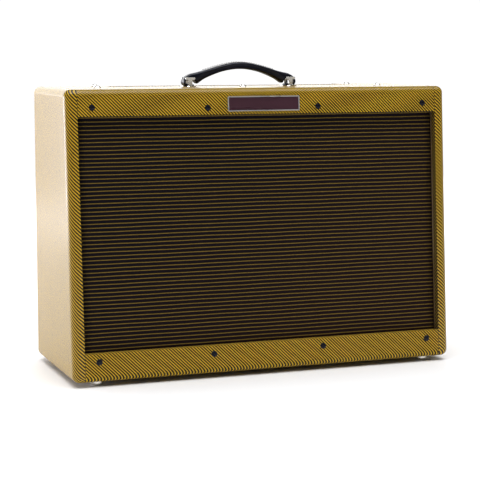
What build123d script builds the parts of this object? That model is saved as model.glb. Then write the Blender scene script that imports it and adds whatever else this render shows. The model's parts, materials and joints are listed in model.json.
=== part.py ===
from build123d import *
import math
import os

# Guitar amplifier: a cloth-covered pine cabinet with an open back, two speakers,
# and a valve chassis hung under the rear half of the top. Millimetres.
# X runs across the front, -Y is the front, +Z is up. The origin is on the floor,
# at the middle of the footprint.

# Cabinet, measured over its cloth covering
WIDTH = 689.0
HEIGHT = 480.0
DEPTH_BOTTOM = 268.0
DEPTH_TOP = 233.0
FOOT_HEIGHT = 8.0
BOARD = 19.0
CLOTH = 0.7
EDGE_RADIUS = 12.0
RAIL_BOARD = 12.0
UPPER_RAIL_HEIGHT = 44.1
LOWER_RAIL_HEIGHT = 48.0

# Where the cabinet's faces fall
FRONT_Y = -DEPTH_BOTTOM / 2
REAR_Y = DEPTH_BOTTOM / 2
BASE_Z = FOOT_HEIGHT
TOP_Z = BASE_Z + HEIGHT
LEAN = math.degrees(math.atan2(DEPTH_BOTTOM - DEPTH_TOP, HEIGHT))
SLOPE = math.hypot(DEPTH_BOTTOM - DEPTH_TOP, HEIGHT)
INNER_X = WIDTH / 2 - CLOTH - BOARD
INNER_BASE_Z = BASE_Z + CLOTH + BOARD
INNER_TOP_Z = TOP_Z - CLOTH - BOARD
RAIL_BACK = CLOTH + RAIL_BOARD
FAR = 2000.0
GLIDE_X = 300.0
GLIDE_Y = 110.0

# Baffle with its grille cloth, bolted behind the two front rails
BAFFLE_BOARD = 12.0
GRILLE_CLOTH = 0.7
BAFFLE_X = INNER_X - 2.5
BAFFLE_LOW = 23.5
BAFFLE_HIGH = 461.0
BAFFLE_FRONT = RAIL_BACK + GRILLE_CLOTH
BAFFLE_BACK = BAFFLE_FRONT + BAFFLE_BOARD
BOLT_OUTER_X = 300.0
BOLT_INNER_X = 100.0
BOLT_TOP_OUTER = 452.0
BOLT_TOP_INNER = 449.0
BOLT_LOW = 34.5
BOLT_R = 2.5
BOLT_HOLE_R = 2.7

# Speakers
SPEAKER_X = 163.0
SPEAKER_HEIGHT = 243.0
SPEAKER_R = 154.0
BAFFLE_HOLE_R = 141.0
SPEAKER_BOLT_CIRCLE = 147.5
SPEAKER_BOLT_HOLE_R = 2.2
SPEAKER_ARMS = 6

# Control recess in the top, open towards the rear
RECESS_X = 225.0
RECESS_FRONT_Y = 55.0

# Chassis
STEEL = 1.5
CHASSIS_X = 280.0
CHASSIS_FRONT_Y = -8.0
CHASSIS_REAR_Y = 120.0
CHASSIS_BASE_Z = INNER_TOP_Z - 75.0
CHASSIS_SCREWS = [(-262.0, 4.0), (0.0, -1.0), (262.0, 4.0), (-242.0, 96.0), (242.0, 96.0)]
CHASSIS_HOLE_R = 2.7
PANEL_THICK = 1.2
PANEL_X = 221.0
PANEL_DEPTH = 59.5
INLET_X = 262.0
PANEL_TOP_Z = INNER_TOP_Z + PANEL_THICK
CONTROL_Y = 88.0

# Controls, left to right along the recess
KNOBS = {
    "normal_volume": (-106.0, 38.0),
    "bright_volume": (-62.0, -25.0),
    "treble": (-18.0, 12.0),
    "bass": (26.0, -48.0),
    "presence": (70.0, 60.0),
}
TOGGLES = {"standby": 108.0, "power": 140.0}
FUSE_X = 172.0
LAMP_X = 200.0
JACK_XS = (-150.0, -182.0)
JACK_YS = (74.0, 102.0)
SHAFT_R = 3.0
BUSHING_R = 4.7
TOGGLE_BUSHING_R = 5.9
TOGGLE_PIVOT_Z = PANEL_TOP_Z + 4.5
TOGGLE_TILT = 12.0
JACK_BORE_R = 3.25
JACK_TOP_Z = PANEL_TOP_Z + 7.0
JACK_BASE_Z = INNER_TOP_Z - 14.0
RUNNING = 0.05

# Valves
OCTAL_XS = (-90.0, -30.0, 45.0)
NOVAL_XS = (-228.0, -190.0, -152.0)
VALVE_Y = 80.0
TRANSFORMER_Y = 70.0

# Handle
HANDLE_Y = 20.0
GRIP_HALF = 13.0
STRAP_HALF = 10.0
GRIP_SHOULDER_X = 70.0
BRACKET_X = 94.0
CHEEK_HALF = 10.8
SCREW_REACH = 20.5
BRACKET_SHEET = 1.8
BRACKET_FLANGE = 1.6
BRACKET_HEAD_LOW = 11.8
BRACKET_HEAD_HIGH = 16.2
BAR_R = 2.0
BAR_Z = TOP_Z + 12.05
SLOT_X = 93.5
SLOT_Z = TOP_Z + 10.7
SLOT_HEIGHT = 7.5
SLOT_LENGTH = 17.0
GRIP_CREST = [(-105.5, 10), (-103, 15.2), (-97, 19.7), (-90, 23), (-80, 24.8), (-70, 27.2)]
GRIP_CREST += [(-60, 30.2), (-45, 34.8), (-30, 38.6), (-15, 41.6), (0, 42.5)]
GRIP_BELLY = [(-80, 3.2), (-75, 8.2), (-66, 13.7), (-56, 18.2), (-37, 25.2), (-18, 29), (0, 30.1)]
GRIP_HEEL = [(-105.5, 10), (-104, 2.5), (-101, 0.4), (-84, 0.4), (-80, 3.2)]

# Rear
BACK_BOARD = 11.5
BACK_FACE_Y = REAR_Y - 2.0
BACK_INNER_Y = BACK_FACE_Y - BACK_BOARD
UPPER_BACK_LOW_Z = 338.0
LOWER_BACK_HIGH_Z = 142.0
CLEAT = 18.0
SIDE_SCREW_X = INNER_X - CLEAT / 2
SCREW_SHANK_R = 2.0

# Plane of the cabinet's front: local X across, local Y up the slope, local Z outwards
TILT = math.radians(LEAN)
FRONT = Plane(
    origin=(0, FRONT_Y, BASE_Z),
    x_dir=(1, 0, 0),
    z_dir=(0, -math.cos(TILT), math.sin(TILT)),
)


def block(x0, x1, y0, y1, z0, z1):
    """A box between two opposite corners."""
    middle = Pos((x0 + x1) / 2, (y0 + y1) / 2, (z0 + z1) / 2)
    return middle * Box(x1 - x0, y1 - y0, z1 - z0)


def on_front(shape):
    """Moves a shape drawn in the front plane's own axes to its place."""
    return FRONT.location * shape


def prism(points, x0, x1):
    """A solid with a side outline of (y, z) points, from x0 to x1."""
    face = Plane.YZ * make_face(Polyline(*points, close=True))
    return Pos(x0, 0, 0) * extrude(face, x1 - x0)


def turned(points):
    """A solid of revolution about Z from an outline of (radius, height) points."""
    face = Plane.XZ * make_face(Polyline(*points, close=True))
    return revolve(face, Axis.Z)


def drill(x, y, z0, z1, radius):
    """An upright cylinder, to cut with or to keep."""
    return Pos(x, y, (z0 + z1) / 2) * Cylinder(radius, z1 - z0)


def along_y(x, z, y0, y1, radius):
    """A cylinder that runs along Y."""
    return Pos(x, (y0 + y1) / 2, z) * Rot(90, 0, 0) * Cylinder(radius, y1 - y0)


def front_y(z, inset):
    """Y of the leaning front face at height z, moved inwards by inset."""
    return FRONT_Y + (z - BASE_Z) * math.tan(TILT) + inset / math.cos(TILT)


def side_outline(inset):
    """The cabinet's side outline, moved inwards by inset all round."""
    low, high, rear = BASE_Z + inset, TOP_Z - inset, REAR_Y - inset
    return [(front_y(low, inset), low), (rear, low), (rear, high), (front_y(high, inset), high)]


def envelope(inset):
    """The cabinet's rounded outer form, moved inwards by inset."""
    half = WIDTH / 2 - inset
    body = prism(side_outline(inset), -half, half)
    return fillet(body.edges(), EDGE_RADIUS - inset)


def save(name, *pieces):
    """Writes one node from its separate solids."""
    solids = [solid for piece in pieces for solid in piece.solids()]
    export_step(Compound(children=solids) if len(solids) > 1 else solids[0], f"parts/{name}.step")
    print(name, len(solids))


def bolt_places():
    """The eight bolts that hold the baffle, as (x, distance up the slope)."""
    rows = [(BOLT_OUTER_X, BOLT_TOP_OUTER), (BOLT_INNER_X, BOLT_TOP_INNER)]
    rows += [(BOLT_OUTER_X, BOLT_LOW), (BOLT_INNER_X, BOLT_LOW)]
    return [(side * x, v) for x, v in rows for side in (-1, 1)]


def bolt_holes():
    """Clearance holes for the baffle bolts, through covering, rail, cloth and baffle."""
    return [on_front(Pos(x, v, -12) * Cylinder(BOLT_HOLE_R, 44)) for x, v in bolt_places()]


def back_screw_places():
    """Wood screws through the back panels into the cleats, as (x, z)."""
    places = [(side * SIDE_SCREW_X, z) for side in (-1, 1) for z in (362.0, 448.0, 64.0, 120.0)]
    return places + [(side * 110.0, INNER_BASE_Z + CLEAT / 2) for side in (-1, 1)]


def bracket_screw_places():
    """The screws of the two handle brackets, as (x, y)."""
    return [(sx * BRACKET_X, HANDLE_Y + sy * SCREW_REACH) for sx in (-1, 1) for sy in (-1, 1)]


def cabinet():
    """Pine boards and the cloth bonded over them."""
    outer, wood = envelope(0), envelope(CLOTH)
    cavity_sides = [
        (front_y(INNER_BASE_Z, RAIL_BACK), INNER_BASE_Z),
        (FAR, INNER_BASE_Z),
        (FAR, INNER_TOP_Z),
        (front_y(INNER_TOP_Z, RAIL_BACK), INNER_TOP_Z),
    ]
    cavity = prism(cavity_sides, -INNER_X, INNER_X)
    mouth_low, mouth_high = LOWER_RAIL_HEIGHT, SLOPE - UPPER_RAIL_HEIGHT
    wood_mouth = block(-INNER_X, INNER_X, mouth_low + CLOTH, mouth_high - CLOTH, -RAIL_BACK - 1, 9)
    lined_x = INNER_X - CLOTH
    cloth_mouth = block(-lined_x, lined_x, mouth_low, mouth_high, -RAIL_BACK - 2, 9)
    recess = block(-RECESS_X, RECESS_X, RECESS_FRONT_Y, FAR, INNER_TOP_Z - 1, FAR)
    holes = bolt_holes()
    bracket_r = SCREW_SHANK_R + 0.1
    bracket_holes = [drill(x, y, TOP_Z - 30, TOP_Z + 5, bracket_r) for x, y in bracket_screw_places()]
    chassis_holes = [drill(x, y, TOP_Z - 30, TOP_Z + 5, CHASSIS_HOLE_R) for x, y in CHASSIS_SCREWS]

    carcass = wood - cavity - on_front(wood_mouth)
    save("side_board_left", carcass & block(-FAR, -INNER_X, -FAR, FAR, 0, FAR))
    save("side_board_right", carcass & block(INNER_X, FAR, -FAR, FAR, 0, FAR))
    between = carcass & block(-INNER_X, INNER_X, -FAR, FAR, 0, FAR)
    rail_zone = on_front(block(-FAR, FAR, -FAR, FAR, -RAIL_BACK, FAR))
    upper = block(-FAR, FAR, -FAR, FAR, HEIGHT / 2, FAR)
    lower = block(-FAR, FAR, -FAR, FAR, -FAR, HEIGHT / 2)
    save("upper_front_rail", (between & rail_zone & upper) - holes)
    save("lower_front_rail", (between & rail_zone & lower) - holes)
    boards = between - rail_zone
    save("top_board", (boards & upper) - recess - bracket_holes - chassis_holes)
    save("bottom_board", boards & lower)

    lining = (wood_mouth - cloth_mouth) & block(-FAR, FAR, -FAR, FAR, -RAIL_BACK, 0)
    skin = (outer - wood - cavity - on_front(cloth_mouth)) + (on_front(lining) & outer)
    save("covering_left", skin & block(-FAR, -lined_x, -FAR, FAR, 0, FAR))
    save("covering_right", skin & block(lined_x, FAR, -FAR, FAR, 0, FAR))
    strip = skin & block(-lined_x, lined_x, -FAR, FAR, 0, FAR)
    save("covering_top", (strip & upper) - recess - holes - bracket_holes - chassis_holes)
    save("covering_bottom", (strip & lower) - holes)


def glides():
    """Four domed steel glides, each with a flat crown to stand on."""
    outline = [(0, 0), (6, 0), (9.5, 1.6), (11.2, 4.2), (11.5, FOOT_HEIGHT), (0, FOOT_HEIGHT)]
    places = [(sx * GLIDE_X, sy * GLIDE_Y) for sx in (-1, 1) for sy in (-1, 1)]
    save("foot_glides", *[Pos(x, y, 0) * turned(outline) for x, y in places])


def baffle():
    """Plywood baffle, its grille cloth, and the bolts and tee nuts that hold it."""
    board = block(-BAFFLE_X, BAFFLE_X, BAFFLE_LOW, BAFFLE_HIGH, -BAFFLE_BACK, -BAFFLE_FRONT)
    barrels = []
    for side in (-1, 1):
        board -= Pos(side * SPEAKER_X, SPEAKER_HEIGHT, -20) * Cylinder(BAFFLE_HOLE_R, 30)
        for step in range(4):
            angle = math.radians(45 + 90 * step)
            x = side * SPEAKER_X + SPEAKER_BOLT_CIRCLE * math.cos(angle)
            v = SPEAKER_HEIGHT + SPEAKER_BOLT_CIRCLE * math.sin(angle)
            board -= Pos(x, v, -20) * Cylinder(SPEAKER_BOLT_HOLE_R, 30)
    for x, v in bolt_places():
        barrels.append(Pos(x, v, -BAFFLE_BACK + 4.5) * Cylinder(3.8, 9.2))
    save("baffle_board", on_front(board - barrels) - bolt_holes())
    cloth = block(-BAFFLE_X, BAFFLE_X, BAFFLE_LOW, BAFFLE_HIGH, -BAFFLE_FRONT, -RAIL_BACK)
    save("grille_cloth", on_front(cloth) - bolt_holes())

    head = [(0, 0.6), (4.0, 0.6), (4.0, 0.9), (3.4, 1.8), (2.0, 2.3), (0, 2.4)]
    screws = []
    for x, v in bolt_places():
        screw = turned(head) + drill(0, 0, -31, 1, BOLT_R)
        for turn in (0, 90):
            screw -= Pos(0, 0, 2.3) * Rot(0, 0, turn) * Box(4.2, 0.9, 1.6)
        washer = Pos(0, 0, 0.3) * (Cylinder(5.2, 0.6) - Cylinder(BOLT_HOLE_R, 2))
        screws += [on_front(Pos(x, v, 0) * screw), on_front(Pos(x, v, 0) * washer)]
    nuts = []
    for x, v in bolt_places():
        nut = Pos(0, 0, -0.75) * Cylinder(9, 1.5) + Pos(0, 0, 4) * Cylinder(3.7, 8)
        nut -= Cylinder(BOLT_R + 0.05, 40)
        nuts.append(on_front(Pos(x, v, -BAFFLE_BACK) * nut))
    save("baffle_fixings", *screws, *nuts)


def nameplate():
    """Blank stamped plate with a raised rim, on the upper front rail."""
    plate = extrude(RectangleRounded(130, 25.5, 2.2), 1.6)
    plate -= Pos(0, 0, 1.0) * extrude(RectangleRounded(126, 21.5, 1.0), 2)
    save("nameplate", on_front(Pos(0.5, SLOPE - 26.3, 0) * plate))


def speakers():
    """Two speakers: basket, motor, cone and its sprung suspension."""
    spots = {}
    for name, side in (("left", -1), ("right", 1)):
        spots[name] = FRONT.location * Pos(side * SPEAKER_X, SPEAKER_HEIGHT, -BAFFLE_BACK) * Rot(0, 180, 0)
    shell = [(135, 4), (141, 4), (141, 0), (SPEAKER_R, 0), (SPEAKER_R, 2), (143, 2), (143, 8)]
    shell += [(140, 10), (74, 78), (62, 82), (27.4, 82), (27.4, 80), (61, 80), (72, 76.5), (137, 8), (135, 8)]
    basket = turned(shell)
    for step in range(SPEAKER_ARMS):
        basket -= Rot(0, 0, 360 / SPEAKER_ARMS * step) * Pos(105, 0, 50) * Box(52, 62, 60)
    for step in range(4):
        hole = Pos(SPEAKER_BOLT_CIRCLE, 0, 0) * Cylinder(SPEAKER_BOLT_HOLE_R, 30)
        basket -= Rot(0, 0, 45 + 90 * step) * hole
    motor = [(27.2, 82), (60, 82), (60, 86), (70, 88), (72, 92), (72, 112), (68, 120), (60, 122)]
    motor += [(0, 122), (0, 82), (24.6, 82), (24.6, 102), (27.2, 102)]
    cone = [(0, 60), (12, 62), (25.4, 68.2), (128, 3.2), (128, 4.2), (26.4, 69.6), (26.4, 98)]
    cone += [(25.6, 98), (25.6, 69.4), (12, 63), (0, 61)]
    surround = [(128.2, 3.2), (129.8, 1.7), (131.5, 3.3), (133.2, 1.7), (134.8, 3.2), (140.6, 3.2)]
    surround += [(140.6, 4), (134.5, 4), (133.2, 2.7), (131.5, 4.3), (129.8, 2.7), (128.2, 4.1)]
    save("speaker_baskets", *[spot * basket for spot in spots.values()])
    save("speaker_motors", *[spot * turned(motor) for spot in spots.values()])
    spider = [(26.6, 74), (60, 74), (60, 74.8), (26.6, 74.8)]
    for name, spot in spots.items():
        save(f"{name}_cone", spot * turned(cone))
        save(f"{name}_suspension", spot * turned(surround), spot * turned(spider))
    bolts = []
    for spot in spots.values():
        for step in range(4):
            bolt = drill(SPEAKER_BOLT_CIRCLE, 0, -11.5, 7, 2.0) + drill(SPEAKER_BOLT_CIRCLE, 0, 2, 5.4, 4.2)
            bolts.append(spot * Rot(0, 0, 45 + 90 * step) * bolt)
    save("speaker_bolts", *bolts)


def lifted(points, side=-1):
    """Points of the grip's outline on one side of the handle, as (x, z) over the cabinet's top."""
    return [(-side * x, TOP_Z + z) for x, z in points]


def handle_grip():
    """Leather grip that arches between two brackets, its ends folded round their bars."""
    crest = lifted(GRIP_CREST) + lifted(GRIP_CREST[-2::-1], 1)
    belly = lifted(GRIP_BELLY) + lifted(GRIP_BELLY[-2::-1], 1)
    heels = [Polyline(*lifted(GRIP_HEEL)), Polyline(*lifted(GRIP_HEEL, 1))]
    outline = make_face([Spline(crest), Spline(belly)] + heels)
    grip = Pos(0, HANDLE_Y, 0) * extrude(Plane.XZ * outline, GRIP_HALF, both=True)
    waste = GRIP_HALF - STRAP_HALF + 1
    for side in (-1, 1):
        slot = Plane.XZ * Pos(side * SLOT_X, SLOT_Z) * SlotOverall(SLOT_LENGTH, SLOT_HEIGHT)
        grip -= Pos(0, HANDLE_Y, 0) * extrude(slot, 2 * GRIP_HALF, both=True)
        inner, outer = sorted((side * GRIP_SHOULDER_X, side * WIDTH / 4))
        for low in (HANDLE_Y - STRAP_HALF - waste, HANDLE_Y + STRAP_HALF):
            grip -= block(inner, outer, low, low + waste, TOP_Z - 1, TOP_Z + HEIGHT)
    save("handle_grip", grip)


def handle_brackets():
    """Two nickel yokes: a bar through the strap, between cheeks with screwed-down flanges."""
    brackets = []
    for side in (-1, 1):
        x = side * BRACKET_X
        bracket = along_y(x, BAR_Z, HANDLE_Y - CHEEK_HALF, HANDLE_Y + CHEEK_HALF, BAR_R)
        for end in (-1, 1):
            cheek = HANDLE_Y + end * CHEEK_HALF
            y0, y1 = sorted((cheek, cheek + end * BRACKET_SHEET))
            head = block(x - 8.5, x + 8.5, y0, y1, TOP_Z + BRACKET_HEAD_LOW, TOP_Z + BRACKET_HEAD_HIGH)
            head = fillet(head.edges().filter_by(Axis.Y), 1.6)
            bracket += head + block(x - 3.5, x + 3.5, y0, y1, TOP_Z, TOP_Z + BRACKET_HEAD_LOW + 0.4)
            f0, f1 = sorted((cheek, cheek + end * 15))
            flange = block(x - 6, x + 6, f0, f1, TOP_Z, TOP_Z + BRACKET_FLANGE)
            bracket += fillet(flange.edges().filter_by(Axis.Z), 1.5)
            bracket -= drill(x, HANDLE_Y + end * SCREW_REACH, TOP_Z - 1, TOP_Z + 3, SCREW_SHANK_R + 0.1)
        brackets.append(bracket)
    save("handle_brackets", *brackets)


def wood_screws():
    """Oval-head wood screws of the back panels and of the handle brackets."""
    outline = [(0, -14), (0.4, -13.4), (SCREW_SHANK_R, -10), (SCREW_SHANK_R, 0)]
    outline += [(4.0, 0), (3.6, 1.0), (2.0, 1.5), (0, 1.6)]
    screw = turned(outline)
    for turn in (0, 90):
        screw -= Pos(0, 0, 1.6) * Rot(0, 0, turn) * Box(3.6, 0.9, 1.6)
    pieces = [Pos(x, BACK_FACE_Y, z) * Rot(-90, 0, 0) * screw for x, z in back_screw_places()]
    pieces += [Pos(x, y, TOP_Z + BRACKET_FLANGE) * screw for x, y in bracket_screw_places()]
    save("wood_screws", *pieces)


def rear():
    """Back panels, and the cleats that they are screwed to."""
    places = back_screw_places()
    through = [along_y(x, z, BACK_INNER_Y - 1, REAR_Y, SCREW_SHANK_R + 0.2) for x, z in places]
    bites = [along_y(x, z, BACK_INNER_Y - 8, BACK_INNER_Y, SCREW_SHANK_R) for x, z in places]
    reach = INNER_X - 1.8
    upper = block(-reach, reach, BACK_INNER_Y, BACK_FACE_Y, UPPER_BACK_LOW_Z, INNER_TOP_Z - 0.8)
    tab = RECESS_X - 1.2
    upper += block(-tab, tab, BACK_INNER_Y, BACK_FACE_Y, INNER_TOP_Z - 5, TOP_Z - 1.0)
    save("back_panel_upper", upper - through)
    lower = block(-reach, reach, BACK_INNER_Y, BACK_FACE_Y, INNER_BASE_Z + 0.8, LOWER_BACK_HIGH_Z)
    save("back_panel_lower", lower - through)
    front_face = BACK_INNER_Y - CLEAT
    strips = []
    for x0, x1 in ((-INNER_X, CLEAT - INNER_X), (INNER_X - CLEAT, INNER_X)):
        strips.append(block(x0, x1, front_face, BACK_INNER_Y, UPPER_BACK_LOW_Z + 6, INNER_TOP_Z))
        strips.append(block(x0, x1, front_face, BACK_INNER_Y, INNER_BASE_Z, LOWER_BACK_HIGH_Z - 6))
    strips.append(block(-290, 290, front_face, BACK_INNER_Y, INNER_BASE_Z, INNER_BASE_Z + CLEAT))
    save("back_cleats", *[strip - bites for strip in strips])


def panel_openings():
    """Every hole through the chassis top and the control panel."""
    holes = [(x, CONTROL_Y, BUSHING_R + 0.1) for x, _ in KNOBS.values()]
    holes += [(x, CONTROL_Y, TOGGLE_BUSHING_R + 0.1) for x in TOGGLES.values()]
    holes += [(x, y, BUSHING_R + 0.1) for x in JACK_XS for y in JACK_YS]
    holes += [(FUSE_X, CONTROL_Y, 8.0), (LAMP_X, CONTROL_Y, 8.0)]
    return [drill(x, y, INNER_TOP_Z - 10, INNER_TOP_Z + 10, r) for x, y, r in holes]


def chassis():
    """Folded steel channel, open to the rear, with its control panel and fixings."""
    shell = block(-CHASSIS_X, CHASSIS_X, CHASSIS_FRONT_Y, CHASSIS_REAR_Y, CHASSIS_BASE_Z, INNER_TOP_Z)
    inner_x, inner_y = CHASSIS_X - STEEL, CHASSIS_FRONT_Y + STEEL
    low, high = CHASSIS_BASE_Z + STEEL, INNER_TOP_Z - STEEL
    shell -= block(-inner_x, inner_x, inner_y, CHASSIS_REAR_Y - STEEL, low, high)
    shell -= block(10 - inner_x, inner_x - 10, CHASSIS_REAR_Y - 5, FAR, low + 10, high - 10)
    shell -= panel_openings()
    shell -= [drill(x, y, high - 5, INNER_TOP_Z + 5, CHASSIS_HOLE_R) for x, y in CHASSIS_SCREWS]
    shell -= [drill(x, VALVE_Y, CHASSIS_BASE_Z - 5, low + 5, 14.0) for x in OCTAL_XS]
    shell -= [drill(x, VALVE_Y, CHASSIS_BASE_Z - 5, low + 5, 9.0) for x in NOVAL_XS]
    inlet_y = (VALVE_Y - 13.5, VALVE_Y + 13.5)
    shell -= block(INLET_X - 9.5, INLET_X + 9.5, *inlet_y, CHASSIS_BASE_Z - 5, low + 5)
    save("chassis", shell)

    plate = extrude(RectangleRounded(2 * PANEL_X, PANEL_DEPTH, 3), PANEL_THICK)
    save("control_panel", Pos(0, CONTROL_Y, INNER_TOP_Z) * plate - panel_openings())

    fixings = []
    for x, y in CHASSIS_SCREWS:
        head = [(0, 1.2), (5.0, 1.2), (5.0, 1.6), (4.0, 3.0), (2.2, 3.8), (0, 4.0)]
        screw = turned(head) + drill(0, 0, -27, 1.4, BOLT_R)
        screw -= Pos(0, 0, 3.9) * Box(12, 1.1, 1.8)
        washer = turned([(CHASSIS_HOLE_R, 0), (7, 0), (6.2, 0.9), (5, 1.2), (CHASSIS_HOLE_R, 1.2)])
        nut = extrude(RegularPolygon(4.6, 6), 3.2) - Cylinder(BOLT_R, 20)
        fixings += [Pos(x, y, TOP_Z) * screw, Pos(x, y, TOP_Z) * washer]
        fixings.append(Pos(x, y, INNER_TOP_Z - STEEL - 3.2) * nut)
    save("chassis_screws", *fixings)


def knob_form():
    """Pointer knob: a round skirt under a tapering pointed grip."""
    skirt = turned([(0, 0), (11.5, 0), (11.5, 2.2), (9.6, 4.2), (0, 4.2)])
    foot = make_hull(Circle(8.2).edges() + (Pos(0, -15.6) * Circle(1.5)).edges())
    crown = make_hull(Circle(7.2).edges() + (Pos(0, -14.8) * Circle(1.0)).edges())
    grip = loft([Pos(0, 0, 2) * foot, Pos(0, 0, 13.2) * crown])
    knob = skirt + grip
    knob -= drill(0, 0, -1, 2.6, 8.2)
    return knob - drill(0, 0, -1, 9, SHAFT_R)


def controls():
    """Pots, knobs, toggles, jacks, fuse, pilot lamp and the mains inlet."""
    under = INNER_TOP_Z - STEEL
    can = drill(0, 0, under - 11, under, 12.0) + drill(0, 0, under - 1, PANEL_TOP_Z + 4.4, BUSHING_R)
    can -= drill(0, 0, under - 9, FAR, SHAFT_R + RUNNING)
    for x in (-5, 0, 5):
        can += block(x - 1.2, x + 1.2, -20, -11, under - 4, under - 3.2)
    save("pots", *[Pos(x, CONTROL_Y, 0) * can for x, _ in KNOBS.values()])

    hexagon = extrude(RegularPolygon(7.2, 6), 2.2) - Cylinder(BUSHING_R + 0.05, 20)
    wide = extrude(RegularPolygon(8.8, 6), 2.0) - Cylinder(TOGGLE_BUSHING_R + 0.05, 20)
    nuts = [Pos(x, CONTROL_Y, PANEL_TOP_Z) * hexagon for x, _ in KNOBS.values()]
    nuts += [Pos(x, y, PANEL_TOP_Z) * hexagon for x in JACK_XS for y in JACK_YS]
    nuts += [Pos(x, CONTROL_Y, PANEL_TOP_Z) * wide for x in TOGGLES.values()]
    save("panel_nuts", *nuts)

    for name, (x, turn) in KNOBS.items():
        place = Pos(x, CONTROL_Y, 0)
        save(f"{name}_shaft", place * drill(0, 0, under - 8.8, PANEL_TOP_Z + 12.2, SHAFT_R))
        save(f"{name}_knob", place * Pos(0, 0, PANEL_TOP_Z + 3.2) * Rot(0, 0, turn) * knob_form())

    bodies = []
    for name, x in TOGGLES.items():
        switch = block(-6.5, 6.5, -9, 9, under - 18, under)
        switch += drill(0, 0, under - 1, PANEL_TOP_Z + 7.5, TOGGLE_BUSHING_R)
        switch -= drill(0, 0, TOGGLE_PIVOT_Z - 8, FAR, 3.6)
        pin_hole = Pos(0, 0, TOGGLE_PIVOT_Z) * Rot(0, 90, 0) * Cylinder(0.9 + RUNNING, 10.2)
        bodies.append(Pos(x, CONTROL_Y, 0) * (switch - pin_hole))
        bat = [(0, -6), (1.4, -6), (1.6, -3), (1.6, 4), (1.9, 6), (2.5, 9.2), (2.2, 10.2), (0, 10.6)]
        lever = Rot(TOGGLE_TILT, 0, 0) * turned(bat) + Sphere(2.9) + Rot(0, 90, 0) * Cylinder(0.9, 9.6)
        save(f"{name}_toggle", Pos(x, CONTROL_Y, TOGGLE_PIVOT_Z) * lever)
    save("toggle_bodies", *bodies)

    barrel = [(JACK_BORE_R, JACK_BASE_Z), (6.5, JACK_BASE_Z), (6.5, under), (BUSHING_R, under)]
    barrel += [(BUSHING_R, JACK_TOP_Z), (JACK_BORE_R, JACK_TOP_Z)]
    save("input_jacks", *[Pos(x, y, 0) * turned(barrel) for x in JACK_XS for y in JACK_YS])

    z = PANEL_TOP_Z
    holder = [(0, under - 36), (7, under - 36), (7, under - 1), (7.9, under - 1), (7.9, z)]
    holder += [(10, z), (10, z + 2), (3.6, z + 2), (3.6, z - 30), (0, z - 30)]
    save("fuse_holder", Pos(FUSE_X, CONTROL_Y, 0) * turned(holder))
    carrier = [(0, z - 28), (3.55, z - 28), (3.55, z + 2)]
    cap = turned(carrier + [(7.8, z + 2), (7.8, z + 11), (7.0, z + 12), (0, z + 12)])
    for step in range(18):
        cap -= Rot(0, 0, 20 * step) * drill(8.2, 0, z + 3, FAR, 0.8)
    save("fuse_cap", Pos(FUSE_X, CONTROL_Y, 0) * cap)

    bezel = [(6.5, under - 20), (7.9, under - 20), (7.9, z), (10, z), (10, z + 1.5)]
    bezel += [(8.6, z + 3.2), (6.5, z + 3.2)]
    save("pilot_bezel", Pos(LAMP_X, CONTROL_Y, 0) * turned(bezel))
    crown = extrude(RegularPolygon(7.6, 8), 7, taper=28)
    jewel = drill(0, 0, z - 1, z + 3.2, 6.4) + Pos(0, 0, z + 3.2) * crown
    save("pilot_jewel", Pos(LAMP_X, CONTROL_Y, 0) * jewel)

    low = CHASSIS_BASE_Z
    inlet = block(-9.2, 9.2, -13.2, 13.2, -2, 22) + block(-12, 12, -22, 22, -2.5, 0)
    inlet -= block(-7.4, 7.4, -11.5, 11.5, -10, 17)
    for y in (-7, 0, 7):
        inlet += block(-1, 1, y - 1.8, y + 1.8, 1, 18)
    inlet = Pos(INLET_X, VALVE_Y, low) * inlet
    save("mains_inlet", inlet)


def electronics():
    """Circuit board, capacitors, transformers, and the valves with their sockets."""
    low = CHASSIS_BASE_Z + STEEL
    board = block(-190, 150, 2, 52, low + 8, low + 11)
    board += [drill(x, 27, low, low + 9, 3) for x in (-180, 0, 140)]
    save("circuit_board", board)
    cans = []
    for step in range(4):
        x = -150 + 55 * step
        cans.append(Pos(x, 16, low + 18.05) * Rot(0, 90, 0) * Cylinder(7, 38))
        cans.append(Pos(x, 39, low + 15.05) * Rot(0, 90, 0) * Cylinder(4, 20))
    save("board_capacitors", *cans)

    high = CHASSIS_BASE_Z

    def transformer(x, width, depth, drop):
        half, deep = width / 2, depth / 2
        core = block(-half, half, -deep, deep, -drop * 0.62, -drop * 0.34)
        bell = block(3 - half, half - 3, 3 - deep, deep - 3, -drop, 0)
        bell = fillet(bell.edges().filter_by(Axis.Z) + bell.faces().sort_by(Axis.Z)[0].edges(), 7)
        return Pos(x, TRANSFORMER_Y, high) * (core + bell)

    save("power_transformer", transformer(185, 92, 78, 76))
    save("output_transformer", transformer(100, 58, 52, 52))

    sockets = []
    for x in OCTAL_XS:
        octal = turned([(0, -7), (17, -7), (17, 0), (13.6, 0), (13.6, 6), (0, 6)])
        sockets.append(Pos(x, VALVE_Y, high) * octal)
    for x in NOVAL_XS:
        noval = turned([(0, -5), (12, -5), (12, 0), (8.7, 0), (8.7, 6), (0, 6)])
        sockets.append(Pos(x, VALVE_Y, high) * noval)
    save("valve_sockets", *sockets)

    def octal_valve(x, radius, length):
        valve = drill(0, 0, -24, -7, 16) + drill(0, 0, -24 - length, -24, radius)
        return Pos(x, VALVE_Y, high) * (valve + Pos(0, 0, -24 - length) * Sphere(radius))

    save("power_valves", *[octal_valve(x, 19, 74) for x in OCTAL_XS[:2]])
    save("rectifier_valve", octal_valve(OCTAL_XS[2], 16, 66))
    small = drill(0, 0, -48, -5, 10.6) + Pos(0, 0, -48) * Sphere(10.6) + drill(0, 0, -62, -56, 1.8)
    save("preamp_valves", *[Pos(x, VALVE_Y, high) * small for x in NOVAL_XS])


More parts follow.
